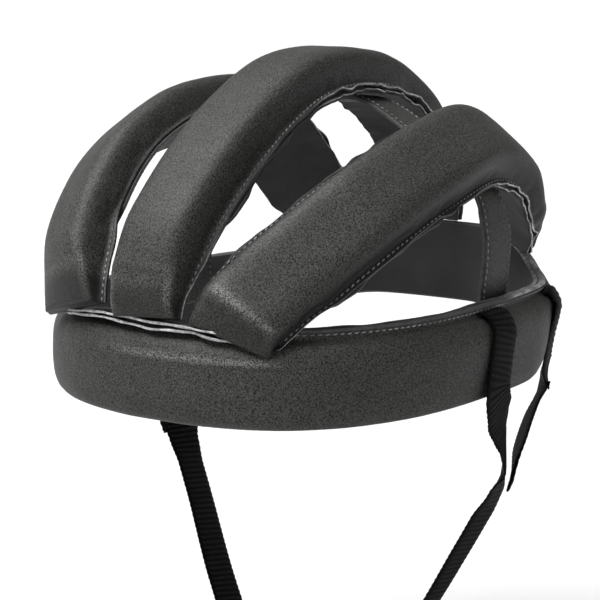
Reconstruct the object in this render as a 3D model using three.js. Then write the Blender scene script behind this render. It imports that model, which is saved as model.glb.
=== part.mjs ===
// Open leather head guard: a padded head band, three padded ribs, a flat strap and webbing chin straps.
// Millimetres. +Z is up, the wearer faces -Y and the wearer's left is +X.
// The origin is the middle of the head opening, level with the lower edge of the band at the forehead.
import * as THREE from 'three';

const GAP = 0.35;

// Head band
const BAND_HALF_WIDTH = 92.5;
const BAND_HALF_LENGTH = 108;
const BAND_SQUARENESS = 2.5;
const BAND_FRONT_TOP = 37.5;
const BAND_EAR_TOP = 38.0;
const BAND_EAR_BOTTOM = 2;
const NAPE_TOP = { z: 54, startDeg: 38, fullDeg: 75 };
const NAPE_BOTTOM = { z: 18, startDeg: 10, fullDeg: 80 };
const LEAN = 8;
const LEAN_PIVOT = 0.6;
const LEAN_DEG = { start: 8, full: 30, ease: 48, end: 80 };
const BAND_STEPS = 96;
const FLANGE_INSET = 8;
const SHOULDER_RISE = 0.38;
const LINING_INSET = 11;
const LINING_THICK = 1.7;

// Cross-section of the band, from the lower edge up the outer face and down the inner face.
// inset: distance inwards from the band's outline. rise: share of the band's height.
const BAND_SECTION = [
  { inset: 7.0, rise: 0.00 },
  { inset: 2.6, rise: 0.03 },
  { inset: 0.6, rise: 0.13 },
  { inset: 0.0, rise: 0.38 },
  { inset: 0.3, rise: 0.64 },
  { inset: 1.6, rise: 0.78 },
  { inset: 4.4, rise: 0.87 },
  { inset: 7.6, rise: 0.90 },
  { inset: FLANGE_INSET, rise: 1.00 },
  { inset: 10.6, rise: 1.00 },
  { inset: LINING_INSET, rise: 0.92 },
  { inset: LINING_INSET, rise: 0.06 },
  { inset: 9.6, rise: 0.00 },
];

// Ribs
const RIB_FLANGE_THICK = 1.6;
const RIB_CROWN = 1.4;
const RIB_STEPS = 40;
const RIB_LINING_THICK = 1.6;
const RIB_LINING_GAP = 0.6;
const RIB_LINING_START = 4;
const RIB_LINING_END = RIB_STEPS - 1;
const DOME_CENTRE_Z = 18;
// Share of its path on which a rib turns towards the line of the band, and degrees on each side for that line.
const RIB_TURN_SHARE = 0.22;
const RIB_TURN_DEG = 12;

// Path of the foot of each padded rib, from the forehead to the back.
// half: half width of the pad. sew: width of the sewn flange beside it. pad: height of the pad.
const CENTRE_RIB = [
  { x: -2.8, y: -103.6, z: 38.3, half: 15.0, sew: 0.8, pad: 5.0 },
  { x: -3.2, y: -101.4, z: 44.0, half: 15.0, sew: 1.2, pad: 9.5 },
  { x: -3.4, y: -96.6, z: 52.5, half: 15.3, sew: 2.4, pad: 14.0 },
  { x: -2.0, y: -86.0, z: 70.0, half: 16.2, sew: 3.2, pad: 15.5 },
  { x: 0, y: -49.5, z: 101.0, half: 16.8, sew: 3.2, pad: 15.5 },
  { x: 0, y: -13.0, z: 117.0, half: 16.8, sew: 3.2, pad: 15.5 },
  { x: 0, y: 31.0, z: 117.5, half: 16.8, sew: 3.2, pad: 15.0 },
  { x: 0, y: 66.0, z: 104.0, half: 16.5, sew: 3.2, pad: 14.0 },
  { x: 0, y: 83.5, z: 88.0, half: 16.2, sew: 3.2, pad: 13.0 },
  { x: 0, y: 92.5, z: 73.0, half: 15.8, sew: 3.0, pad: 12.0 },
  { x: 0, y: 96.0, z: 63.0, half: 15.2, sew: 2.2, pad: 9.5 },
  { x: 0, y: 97.0, z: 55.0, half: 15.0, sew: 1.2, pad: 6.0 },
];
// The soft guard doesn't lie evenly: the left rib has slid outwards, the right rib stands nearer the middle.
const LEFT_RIB = [
  { x: 31.2, y: -98.0, z: 33.6, half: 16.8, sew: 0.6, pad: 4.5 },
  { x: 32.8, y: -97.0, z: 38.4, half: 16.8, sew: 1.0, pad: 7.0 },
  { x: 35.2, y: -94.6, z: 43.2, half: 16.8, sew: 1.6, pad: 10.0 },
  { x: 40.2, y: -87.8, z: 50.8, half: 16.8, sew: 2.2, pad: 10.5 },
  { x: 47.5, y: -75.0, z: 60.5, half: 16.8, sew: 3.2, pad: 12.5 },
  { x: 57.0, y: -50.0, z: 76.0, half: 16.8, sew: 3.2, pad: 14.0 },
  { x: 60.5, y: -13.0, z: 88.5, half: 16.8, sew: 3.2, pad: 14.0 },
  { x: 58.5, y: 26.0, z: 93.5, half: 16.8, sew: 3.2, pad: 14.0 },
  { x: 55.5, y: 56.0, z: 83.0, half: 16.8, sew: 3.2, pad: 14.0 },
  { x: 51.5, y: 72.5, z: 67.5, half: 15.8, sew: 3.0, pad: 12.5 },
  { x: 46.8, y: 84.0, z: 58.0, half: 14.6, sew: 2.4, pad: 9.0 },
  { x: 43.0, y: 90.6, z: 51.4, half: 14.0, sew: 1.6, pad: 5.5 },
];
const RIGHT_RIB = [
  { x: -40.4, y: -100.4, z: 38.0, half: 19.8, sew: 0.8, pad: 8.5 },
  { x: -41.2, y: -98.0, z: 44.0, half: 19.2, sew: 1.2, pad: 12.5 },
  { x: -42.6, y: -92.4, z: 53.0, half: 17.6, sew: 2.0, pad: 16.0 },
  { x: -45.5, y: -81.0, z: 69.0, half: 16.0, sew: 3.0, pad: 15.0 },
  { x: -48.5, y: -56.0, z: 90.0, half: 16.0, sew: 3.2, pad: 15.0 },
  { x: -50.0, y: -16.0, z: 102.5, half: 16.2, sew: 3.2, pad: 15.0 },
  { x: -51.0, y: 26.0, z: 101.5, half: 16.4, sew: 3.2, pad: 14.5 },
  { x: -52.0, y: 56.0, z: 86.0, half: 16.4, sew: 3.2, pad: 14.0 },
  { x: -50.0, y: 72.5, z: 68.5, half: 15.8, sew: 3.0, pad: 12.5 },
  { x: -46.5, y: 84.0, z: 58.0, half: 14.6, sew: 2.4, pad: 9.0 },
  { x: -43.0, y: 90.6, z: 51.4, half: 14.0, sew: 1.6, pad: 5.5 },
];

// Flat leather strap from ear to ear under the ribs
const FLAT_THICK = 2.0;
const CROSS_WIDTH = 22;
const UNDER_RIB = 5.3;
const CROSS_AT_Y = 22;
const CROSS_STEPS = 44;
// Its left end, from inside the band up to the rib.
const CROSS_END = [
  { x: 74.4, y: 20.0, z: 20, ax: 0, ay: 1, az: 0 },
  { x: 74.6, y: 20.0, z: 37, ax: 0, ay: 1, az: 0 },
  { x: 75.8, y: 20.5, z: 52, ax: 0, ay: 1, az: 0 },
  { x: 75.0, y: 21.5, z: 64, ax: 0, ay: 1, az: 0 },
];

// Webbing
const WEB_WIDTH = 18;
const WEB_THICK = 1.6;
const FRONT_WEB_DEG = -0.5;
const FRONT_WEB_LEAD_DEG = -2;
const FRONT_WEB_STEPS = 64;
const REAR_WEB_DEG = 28;
const REAR_WEB_LEAD_DEG = -5;
const REAR_WEB_STEPS = 44;
const WEB_CLEAR = 0.65;
// Free lengths of webbing. ax, ay, az: direction across the webbing.
const FRONT_FREE = [
  { x: 91.6, y: -4.0, z: -3, ax: -0.05, ay: 1.0, az: 0 },
  { x: 88.5, y: 3.5, z: -11, ax: -0.20, ay: 0.98, az: 0 },
  { x: 86.0, y: 10.5, z: -20, ax: -0.38, ay: 0.92, az: -0.1 },
  { x: 83.0, y: 17.0, z: -32, ax: -0.50, ay: 0.86, az: -0.1 },
  { x: 79.6, y: 16.6, z: -43, ax: -0.20, ay: 0.94, az: -0.25 },
  { x: 74.0, y: 14.6, z: -54, ax: -0.10, ay: 0.92, az: -0.35 },
  { x: 67.5, y: 12.3, z: -67, ax: -0.10, ay: 0.92, az: -0.35 },
  { x: 50.0, y: 5.0, z: -101, ax: -0.05, ay: 0.97, az: -0.15 },
  { x: 33.0, y: -1.5, z: -125, ax: 0, ay: 1, az: 0 },
  { x: 19.0, y: -4.0, z: -137, ax: 0, ay: 1, az: 0 },
  { x: 10.0, y: -4.0, z: -138, ax: 0, ay: 1, az: 0 },
  { x: 2.0, y: -4.0, z: -138, ax: 0, ay: 1, az: 0 },
];
const REAR_FREE = [
  { x: 82.0, y: 53.0, z: -5, ax: -0.60, ay: 0.60, az: -0.4 },
  { x: 83.5, y: 39.0, z: -13, ax: -0.62, ay: 0.46, az: -0.6 },
  { x: 85.5, y: 27.0, z: -22, ax: -0.62, ay: 0.55, az: -0.5 },
  { x: 86.0, y: 20.3, z: -32, ax: -0.50, ay: 0.84, az: -0.1 },
  { x: 84.4, y: 20.2, z: -40, ax: -0.36, ay: 0.92, az: -0.1 },
];

// Sleeve under the chin
const CLASP_HALF = 14;
const CLASP_WALL = 2.2;
const CLASP_AT = { y: -4, z: -138 };

const asRadians = THREE.MathUtils.degToRad;

function smooth(from, to, value) {
  return THREE.MathUtils.smoothstep(value, from, to);
}

// A point of the band's outline, moved inwards along the outline's normal.
function planPoint(angle, inset) {
  const power = 2 / BAND_SQUARENESS;
  const c = Math.cos(angle);
  const s = Math.sin(angle);
  const x = BAND_HALF_WIDTH * Math.sign(c) * Math.abs(c) ** power;
  const y = BAND_HALF_LENGTH * Math.sign(s) * Math.abs(s) ** power;
  const normal = planNormal(angle);
  return new THREE.Vector2(x - inset * normal.x, y - inset * normal.y);
}

function planNormal(angle) {
  const power = 2 - 2 / BAND_SQUARENESS;
  const c = Math.cos(angle);
  const s = Math.sin(angle);
  const nx = Math.sign(c) * Math.abs(c) ** power / BAND_HALF_WIDTH;
  const ny = Math.sign(s) * Math.abs(s) ** power / BAND_HALF_LENGTH;
  return new THREE.Vector2(nx, ny).normalize();
}

// Degrees from the ear towards the back, 0 in front of the ear.
function degreesBehindEar(angle) {
  return THREE.MathUtils.radToDeg(Math.asin(Math.max(0, Math.sin(angle))));
}

// Height of a rim of the band, which rises from the ears to the nape.
function towardsNape(rim, nape, angle) {
  return THREE.MathUtils.lerp(rim, nape.z, smooth(nape.startDeg, nape.fullDeg, degreesBehindEar(angle)));
}

function bandBottom(angle) {
  return towardsNape(BAND_EAR_BOTTOM * Math.cos(angle) ** 2, NAPE_BOTTOM, angle);
}

function bandTop(angle) {
  const rim = THREE.MathUtils.lerp(BAND_FRONT_TOP, BAND_EAR_TOP, Math.cos(angle) ** 2);
  return towardsNape(rim, NAPE_TOP, angle);
}

// Behind the ears the soft band leans: its lower edge lies further in than its top.
function bandLean(angle, rise) {
  const behind = degreesBehindEar(angle);
  const begun = smooth(LEAN_DEG.start, LEAN_DEG.full, behind);
  const ended = smooth(LEAN_DEG.ease, LEAN_DEG.end, behind);
  return LEAN * begun * (1 - ended) * (LEAN_PIVOT - rise);
}

function bandPoint(angle, inset, rise) {
  const p = planPoint(angle, inset + bandLean(angle, rise));
  const z = THREE.MathUtils.lerp(bandBottom(angle), bandTop(angle), rise);
  return new THREE.Vector3(p.x, p.y, z);
}

// Solid through a row of rings with equal point counts. An open row gets a flat cap at each end.
function loft(rings, closed) {
  const count = rings[0].length;
  const positions = [];
  for (const ring of rings) {
    for (const point of ring) positions.push(point.x, point.y, point.z);
  }
  const faces = [];
  const spans = closed ? rings.length : rings.length - 1;
  for (let i = 0; i < spans; i += 1) {
    const next = (i + 1) % rings.length;
    for (let j = 0; j < count; j += 1) {
      const k = (j + 1) % count;
      const a = i * count + j;
      const b = i * count + k;
      const c = next * count + k;
      const d = next * count + j;
      faces.push([a, b, c], [a, c, d]);
    }
  }
  if (!closed) {
    addCap(rings[0], 0, false, positions, faces);
    addCap(rings[rings.length - 1], (rings.length - 1) * count, true, positions, faces);
  }
  if (signedVolume(positions, faces) < 0) {
    for (const face of faces) face.reverse();
  }
  const geometry = new THREE.BufferGeometry();
  geometry.setAttribute('position', new THREE.Float32BufferAttribute(positions, 3));
  geometry.setIndex(faces.flat());
  geometry.computeVertexNormals();
  return geometry;
}

function addCap(ring, first, flip, positions, faces) {
  const middle = new THREE.Vector3();
  for (const point of ring) middle.add(point);
  middle.multiplyScalar(1 / ring.length);
  const centre = positions.length / 3;
  positions.push(middle.x, middle.y, middle.z);
  for (let j = 0; j < ring.length; j += 1) {
    const a = first + j;
    const b = first + (j + 1) % ring.length;
    faces.push(flip ? [centre, a, b] : [centre, b, a]);
  }
}

function signedVolume(positions, faces) {
  const at = (index) => new THREE.Vector3().fromArray(positions, index * 3);
  let total = 0;
  for (const [a, b, c] of faces) total += at(a).dot(at(b).cross(at(c))) / 6;
  return total;
}

// Smooth values through the rows of a table, at even steps along the path of their points.
function followTable(rows, columns, steps) {
  const points = rows.map((row) => new THREE.Vector3(row.x, row.y, row.z));
  const curve = new THREE.CatmullRomCurve3(points, false, 'centripetal');
  curve.arcLengthDivisions = 400;
  const stations = [];
  for (let i = 0; i <= steps; i += 1) {
    const t = curve.getUtoTmapping(i / steps);
    const passed = t * (rows.length - 1);
    const row = Math.min(Math.floor(passed), rows.length - 2);
    const share = passed - row;
    const station = { point: curve.getPoint(t), tangent: curve.getTangent(t) };
    for (const name of columns) {
      station[name] = THREE.MathUtils.lerp(rows[row][name], rows[row + 1][name], smooth(0, 1, share));
    }
    stations.push(station);
  }
  return stations;
}

// Outward direction of a path over the head, square to the path.
function addOutward(station, centre) {
  const out = station.point.clone().sub(centre);
  out.addScaledVector(station.tangent, -out.dot(station.tangent)).normalize();
  station.out = out;
  station.across = new THREE.Vector3().crossVectors(station.tangent, out).normalize();
}

// Towards the back the section of a rib turns, until its end lies along the top edge of the band.
function turnToBand(stations) {
  const angle = bandAngle(stations[RIB_STEPS].point);
  const side = asRadians(RIB_TURN_DEG);
  const line = bandPoint(angle - side, FLANGE_INSET, 1);
  line.sub(bandPoint(angle + side, FLANGE_INSET, 1));
  stations.forEach((station, i) => {
    const turned = line.clone().divideScalar(line.dot(station.across));
    station.across.lerp(turned, smooth(1 - RIB_TURN_SHARE, 1, i / RIB_STEPS));
  });
}

function ribStations(rows) {
  const stations = followTable(rows, ['half', 'sew', 'pad'], RIB_STEPS);
  for (const station of stations) addOutward(station, new THREE.Vector3(0, 0, DOME_CENTRE_Z));
  turnToBand(stations);
  return stations;
}

function place(station, across, out) {
  return station.point.clone().addScaledVector(station.across, across).addScaledVector(station.out, out);
}

// Angle round the band, as planPoint takes it, of the place above or below a point.
function bandAngle(point) {
  const power = BAND_SQUARENESS / 2;
  const c = Math.sign(point.x) * Math.abs(point.x / BAND_HALF_WIDTH) ** power;
  const s = Math.sign(point.y) * Math.abs(point.y / BAND_HALF_LENGTH) ** power;
  return Math.atan2(s, c);
}

// Share of the band's height at its upper surface, at a distance inwards from its outline.
function bandShoulder(inset) {
  if (inset < 0) return 0;
  if (inset > FLANGE_INSET - 2 * GAP) return 1;
  const rows = BAND_SECTION.filter((row) => row.rise >= SHOULDER_RISE && row.rise < 1);
  const next = rows.findIndex((row) => row.inset > inset);
  if (next < 1) return rows[Math.max(next, 0)].rise;
  const [a, b] = [rows[next - 1], rows[next]];
  return THREE.MathUtils.mapLinear(inset, a.inset, b.inset, a.rise, b.rise);
}

// A rib ends on the band: no point of it lies lower than the band's flange and padded shoulder.
function aboveBand(point) {
  const angle = bandAngle(point);
  const edge = planPoint(angle, 0);
  const normal = planNormal(angle);
  const depth = (edge.x - point.x) * normal.x + (edge.y - point.y) * normal.y;
  const inset = depth - bandLean(angle, 1);
  const surface = bandPoint(angle, inset, bandShoulder(inset));
  point.z = Math.max(point.z, surface.z + GAP);
  return point;
}

// Padded rib: a narrow sewn flange on each side of a pad with rounded shoulders and a nearly flat top.
function ribPadRing(station) {
  const half = station.half;
  const pad = station.pad;
  const flange = half + station.sew;
  const side = [
    [flange, 0],
    [flange, RIB_FLANGE_THICK],
    [half, RIB_FLANGE_THICK + 0.4],
    [half + 0.4, pad * 0.45],
    [half - 1.0, pad * 0.76],
    [half - 4.0, pad * 0.94],
    [half * 0.42, pad + RIB_CROWN * 0.75],
  ];
  const ring = [];
  for (const [across, out] of side) ring.push(place(station, -across, out));
  ring.push(place(station, 0, pad + RIB_CROWN));
  for (const [across, out] of [...side].reverse()) ring.push(place(station, across, out));
  return ring.map(aboveBand);
}

function flatRing(station, width, from, to) {
  return [
    place(station, -width / 2, from),
    place(station, -width / 2, to),
    place(station, width / 2, to),
    place(station, width / 2, from),
  ];
}

function ribPad(rows) {
  return loft(ribStations(rows).map(ribPadRing), false);
}

// The ring runs from right to left, so that the lining's facets lie along those of the pad above it.
function ribLining(rows) {
  const rings = ribStations(rows).slice(RIB_LINING_START, RIB_LINING_END).map((station) => {
    const width = 2 * (station.half + station.sew);
    const foot = -RIB_LINING_GAP;
    return flatRing(station, -width, foot - RIB_LINING_THICK, foot).map(aboveBand);
  });
  return loft(rings, false);
}

// Points just under a rib's lining, from one side to the other, where the ear-to-ear strap passes.
function underRib(rows, shares) {
  const miss = (station) => Math.abs(station.point.y - CROSS_AT_Y);
  const best = ribStations(rows).reduce((a, b) => (miss(b) < miss(a) ? b : a));
  const width = best.half + best.sew;
  return shares.map((share) => {
    const point = place(best, share * width, -UNDER_RIB);
    const along = best.tangent;
    return { x: point.x, y: point.y, z: point.z, ax: along.x, ay: along.y, az: along.z };
  });
}

function crossStrapRows() {
  const middle = [
    ...underRib(LEFT_RIB, [0.9, 0, -0.9]),
    ...underRib(CENTRE_RIB, [0.8, 0, -0.8]),
    ...underRib(RIGHT_RIB, [0.9, 0, -0.9]),
  ];
  const otherEnd = CROSS_END.map((row) => ({ ...row, x: -row.x })).reverse();
  return [...CROSS_END, ...middle, ...otherEnd];
}

function headBand() {
  const rings = [];
  for (let i = 0; i < BAND_STEPS; i += 1) {
    const angle = 2 * Math.PI * i / BAND_STEPS;
    rings.push(BAND_SECTION.map((row) => bandPoint(angle, row.inset, row.rise)));
  }
  return loft(rings, true);
}

// The ring runs down the wall beside the band, as the band's own ring does, so that their facets agree.
function bandLining() {
  const near = LINING_INSET + GAP;
  const far = near + LINING_THICK;
  const rings = [];
  for (let i = 0; i < BAND_STEPS; i += 1) {
    const angle = 2 * Math.PI * i / BAND_STEPS;
    const corners = [[far, 0.03], [far, 1.0], [near, 1.0], [near, 0.03]];
    rings.push(corners.map(([inset, rise]) => bandPoint(angle, inset, rise)));
  }
  return loft(rings, true);
}

// Webbing that is sewn under the band's flange, goes over the padded shoulder and hangs down outside.
// lead: degrees round the band by which the lower rows run ahead of the upper ones.
function webFromFlange(degrees, lead) {
  const outer = -WEB_CLEAR - WEB_THICK / 2;
  const down = [
    { inset: 5.6, rise: 0.975, lift: 0, share: 0 },
    { inset: 5.5, rise: 0.94, lift: 0.2, share: 0 },
    { inset: 4.7, rise: 0.88, lift: 1.7, share: 0 },
    { inset: 2.7, rise: 0.825, lift: 2.4, share: 0 },
    { inset: -0.5, rise: 0.74, lift: 0.3, share: 0.1 },
    { inset: outer, rise: 0.62, lift: 0, share: 0.3 },
    { inset: outer, rise: 0.40, lift: 0, share: 0.6 },
    { inset: outer, rise: 0.12, lift: 0, share: 1 },
  ];
  return down.map((row) => {
    const angle = asRadians(degrees + lead * row.share);
    const point = bandPoint(angle, row.inset, row.rise);
    const normal = planNormal(angle);
    return { x: point.x, y: point.y, z: point.z + row.lift, ax: -normal.y, ay: normal.x, az: 0 };
  });
}

function strapStations(rows, steps) {
  const stations = followTable(rows, ['ax', 'ay', 'az'], steps);
  for (const station of stations) {
    const across = new THREE.Vector3(station.ax, station.ay, station.az);
    across.addScaledVector(station.tangent, -across.dot(station.tangent)).normalize();
    station.across = across;
    station.out = new THREE.Vector3().crossVectors(across, station.tangent).normalize();
  }
  return stations;
}

// Flat strap through a table of points and directions across it.
function strap(rows, width, thick, steps) {
  const rings = strapStations(rows, steps).map((station) => flatRing(station, width, -thick / 2, thick / 2));
  return loft(rings, false);
}

function webbing(rows, steps) {
  return strap(rows, WEB_WIDTH, WEB_THICK, steps);
}

// Plain sleeve that holds the two ends of the chin strap.
function chinClasp() {
  const slotHalf = WEB_WIDTH / 2 + GAP;
  const slotTall = WEB_THICK / 2 + GAP;
  const rim = (x, wide, tall) => [
    new THREE.Vector3(x, CLASP_AT.y - wide, CLASP_AT.z - tall),
    new THREE.Vector3(x, CLASP_AT.y + wide, CLASP_AT.z - tall),
    new THREE.Vector3(x, CLASP_AT.y + wide, CLASP_AT.z + tall),
    new THREE.Vector3(x, CLASP_AT.y - wide, CLASP_AT.z + tall),
  ];
  const outerWide = slotHalf + CLASP_WALL;
  const outerTall = slotTall + CLASP_WALL;
  const rings = [
    rim(-CLASP_HALF, outerWide, outerTall),
    rim(CLASP_HALF, outerWide, outerTall),
    rim(CLASP_HALF, slotHalf, slotTall),
    rim(-CLASP_HALF, slotHalf, slotTall),
  ];
  return loft(rings, true);
}

const LEATHER = { color: 0x3a3a3c, roughness: 0.55 };
const SUEDE = { color: 0x242426, roughness: 0.9 };
const NYLON = { color: 0x141416, roughness: 0.8 };

const guard = new THREE.Group();
guard.name = 'head_guard';

function addNode(name, geometry, finish) {
  const mesh = new THREE.Mesh(geometry, new THREE.MeshStandardMaterial({ ...finish, metalness: 0 }));
  mesh.name = name;
  guard.add(mesh);
}

addNode('head_band', headBand(), LEATHER);
addNode('band_lining', bandLining(), SUEDE);
addNode('rib_center', ribPad(CENTRE_RIB), LEATHER);
addNode('rib_left', ribPad(LEFT_RIB), LEATHER);
addNode('rib_right', ribPad(RIGHT_RIB), LEATHER);
addNode('rib_center_lining', ribLining(CENTRE_RIB), SUEDE);
addNode('rib_left_lining', ribLining(LEFT_RIB), SUEDE);
addNode('rib_right_lining', ribLining(RIGHT_RIB), SUEDE);
addNode('cross_strap', strap(crossStrapRows(), CROSS_WIDTH, FLAT_THICK, CROSS_STEPS), LEATHER);

const leftFront = [...webFromFlange(FRONT_WEB_DEG, FRONT_WEB_LEAD_DEG), ...FRONT_FREE];
const leftRear = [...webFromFlange(REAR_WEB_DEG, REAR_WEB_LEAD_DEG), ...REAR_FREE];
const swapSide = (rows) => rows.map((row) => ({ ...row, x: -row.x, ax: -row.ax }));
addNode('front_web_left', webbing(leftFront, FRONT_WEB_STEPS), NYLON);
addNode('front_web_right', webbing(swapSide(leftFront), FRONT_WEB_STEPS), NYLON);
addNode('rear_web_left', webbing(leftRear, REAR_WEB_STEPS), NYLON);
addNode('rear_web_right', webbing(swapSide(leftRear), REAR_WEB_STEPS), NYLON);
addNode('chin_clasp', chinClasp(), NYLON);

export default guard;
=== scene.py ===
"""Looks of an open leather head guard: padded band and ribs, raw edges, stitching and ribbed webbing.

Lengths are millimetres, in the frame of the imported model: +Z up, the wearer faces -Y.
Angles round the band are degrees from the wearer's left ear: the nape is at 90, the forehead at 270.
"""
import math

import bpy
import numpy as np
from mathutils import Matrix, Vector


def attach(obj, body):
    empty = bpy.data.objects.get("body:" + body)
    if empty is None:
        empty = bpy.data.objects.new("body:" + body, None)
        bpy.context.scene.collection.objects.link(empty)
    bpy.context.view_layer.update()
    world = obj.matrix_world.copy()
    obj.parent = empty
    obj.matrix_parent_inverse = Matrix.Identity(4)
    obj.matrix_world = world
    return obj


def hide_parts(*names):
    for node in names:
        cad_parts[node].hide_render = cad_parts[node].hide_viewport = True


MM = 0.001

# Camera, floor and lamps
CAMERA_AT = (437.0, -655.6, 169.8)
CAMERA_AIM = (-3.565, -2.405, 30.9)
CAMERA_LENS = 115.4
CAMERA_SENSOR = 36.0
FLOOR_Z = -150.0
FLOOR_SIDES = 64
FLOOR_RADII = (600.0, 3000.0, 20000.0)
KEY_FROM = (-0.32, -0.28, 0.90)
KEY_SPREAD_DEG = 50.0
KEY_POWER = 5.9
SOFTBOX_AT = (-750.0, -950.0, 1150.0)
SOFTBOX_AIM = (0.0, 0.0, 30.0)
SOFTBOX_SIZE = 500.0
SOFTBOX_POWER = 6.0
# Brightness of the studio sky by height, from the horizon up.
SKY = ((0.0, 1.0), (0.10, 0.95), (0.24, 0.24), (1.0, 0.24))

# Noise and curves
NOISE_TABLE = 4096
NOISE_PRIMES = (73856093, 19349663, 83492791)
SIDES_APART = 40.0
CURVE_STEPS = 60
BAND_SEED = 3
BAND_PUCKER_SEED = 5
LINING_SEED = 8
SEAM_SEED = 21
RIB_SEED = 100
UNDER_SEED = 200
CROSS_SEED = 300
SEED_STEP = 10

# Head band
BAND_HALF_WIDTH = 92.5
BAND_HALF_LENGTH = 108.0
BAND_SQUARENESS = 2.5
BAND_TALL = 36.0
BAND_FRONT_TOP = 37.5
BAND_EAR_TOP = 38.0
BAND_EAR_BOTTOM = 2.0
BAND_STEPS = 480
BAND_FINER = 3
BAND_FILL = 0.7
# Rise of the band's two rims behind the ears: height at the nape, degrees at which it starts and is full.
NAPE_TOP = (54.0, 38.0, 75.0)
NAPE_BOTTOM = (18.0, 10.0, 80.0)
LEAN = 8.0
LEAN_PIVOT = 0.6
FLANGE_INSET = 7.3
FLANGE_FACE_ROWS = 2
SHOULDER_RISE = 0.48
SHOULDER_FULL = 0.05
FOLD_OUT = 0.9
LINING_INSET = 11.0
LINING_CLEAR = 0.15
LINING_TOP = 0.95
LINING_RAW = (2, 3, 4)
GAP = 0.35
BAND_STITCH_AT = (7.75, 0.948)
BAND_STITCH_PITCH = 2.8
# Least and added lightness of the band's raw top edge.
BAND_PALE = (0.06, 0.80)
# Limits where a form of the band starts, is full, eases off and ends, in degrees or shares of the height.
LEAN_DEG = (8.0, 30.0, 48.0, 80.0)
FULL_DEG = (232.0, 244.0, 274.0, 290.0)
FULL_RISE = (0.60, 0.88, 0.93, 1.0)
FOLD_DEG = (238.0, 256.0, 288.0, 302.0)
# Painted highlight along the band's shoulder at the forehead.
SHOULDER_HIGHLIGHT_DEG = (256.0, 274.0, 292.0, 302.0)
PALE_FRONT_DEG = (228.0, 240.0, 292.0, 305.0)
PALE_REAR_DEG = (4.0, 8.0, 60.0, 70.0)
# Limits between which the padding's unevenness grows: shares of the height, insets.
PADDED_RISE = (0.93, 0.80)
PADDED_INSET = (10.5, 6.0)
# Middle and reach of a form, as shares of the band's height.
FOLD_RISE = (0.72, 0.05)
PUCKER_RISE = (0.84, 0.10)
# Painted highlight along the band's shoulder.
SHOULDER_HIGHLIGHT_RISE = (0.70, 0.022)
# Uneven forms: depth and length of their waves.
BAND_UNEVEN = ((0.55, 34.0), (0.28, 13.0))
BAND_PUCKER = (0.22, 4.5)
PUCKER_STRETCH = (1.0, 1.0, 0.3)
LINING_WAVE = (0.5, 9.0)

# Cross-section of the padded part of the band, from the top of the inner face round to the flange.
# Columns: inset from the outline, share of the band's height.
BAND_PAD = (
    (11.0, 0.90), (11.0, 0.50), (11.0, 0.10), (10.2, 0.03), (8.4, 0.0),
    (5.4, 0.0), (2.6, 0.035), (0.9, 0.13), (0.1, 0.30), (0.0, 0.48),
    (0.4, 0.66), (1.7, 0.78), (4.0, 0.855), (6.6, 0.885), (7.6, 0.895),
)
# The sewn flange on top of the band, from its outer crease over its raw top edge.
BAND_FLANGE = (
    (7.8, 0.915), (7.9, 0.945), (7.85, 0.975), (8.05, 0.995),
    (8.3, 1.0), (10.3, 1.0), (10.8, 0.985),
)
# Cross-section of the band's lining. Columns: inset from the pad, share of the band's height.
LINING_SECTION = (
    (0.0, 0.04), (0.0, 0.50), (0.0, 0.99), (0.3, 1.0), (1.4, 1.0), (1.7, 0.985),
    (1.7, 0.75), (1.7, 0.50), (1.7, 0.25), (1.7, 0.05), (1.3, 0.03),
)

# Ribs
FLANGE_THICK = 1.5
RIB_CROWN = 0.9
RIB_STEPS = 260
RIB_FILL = 0.8
# Segment of a rib's ring, counted from either end, that is its raw edge.
RIB_RAW = 1
DOME_CENTRE = (0.0, 0.0, 18.0)
# Share of its path on which a rib turns towards the line of the band, and degrees on each side for that line.
RIB_TURN_SHARE = 0.22
RIB_TURN_DEG = 12.0
PAD_POINTS = 45
PAD_SAMPLES = 2001
PAD_SQUARENESS = 4.4
PAD_ASPECT = 0.85
PAD_EASE = 4.0
FOOT_REACH = 2.5
FOOT_OVER = 0.2
# Points of a flange, as shares of its width: the outer part that waves, the line of stitches, the pad's foot.
SEW_LOOSE = 0.6
SEW_LINE = 0.55
SEW_FOOT = 0.2
SEW_LEAST = 1.6
SEW_DIP = 0.12
RAW_FOOT = 0.6
EDGE_ROUND = 0.25
EDGE_DROP = 0.2
# Uneven forms: depth and length of their waves.
RIB_UNEVEN = ((0.45, 30.0), (0.25, 12.0))
RIB_PUCKER = (0.45, 5.0)
RIB_WAVE = (0.8, 8.0)
FLUTTER_FOLDS = ((1.0, 6.5), (0.5, 3.2))
FLUTTER = 0.9
FLUTTER_FROM = 0.97
# Shares of a rib's length on which its edges flutter at the back and in front.
FLUTTER_EASE = 0.08
FLUTTER_END = (0.92, 0.98)
FLUTTER_FRONT = (0.14, 0.06)
FRONT_LIFT = (0.8, 0.6)

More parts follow.
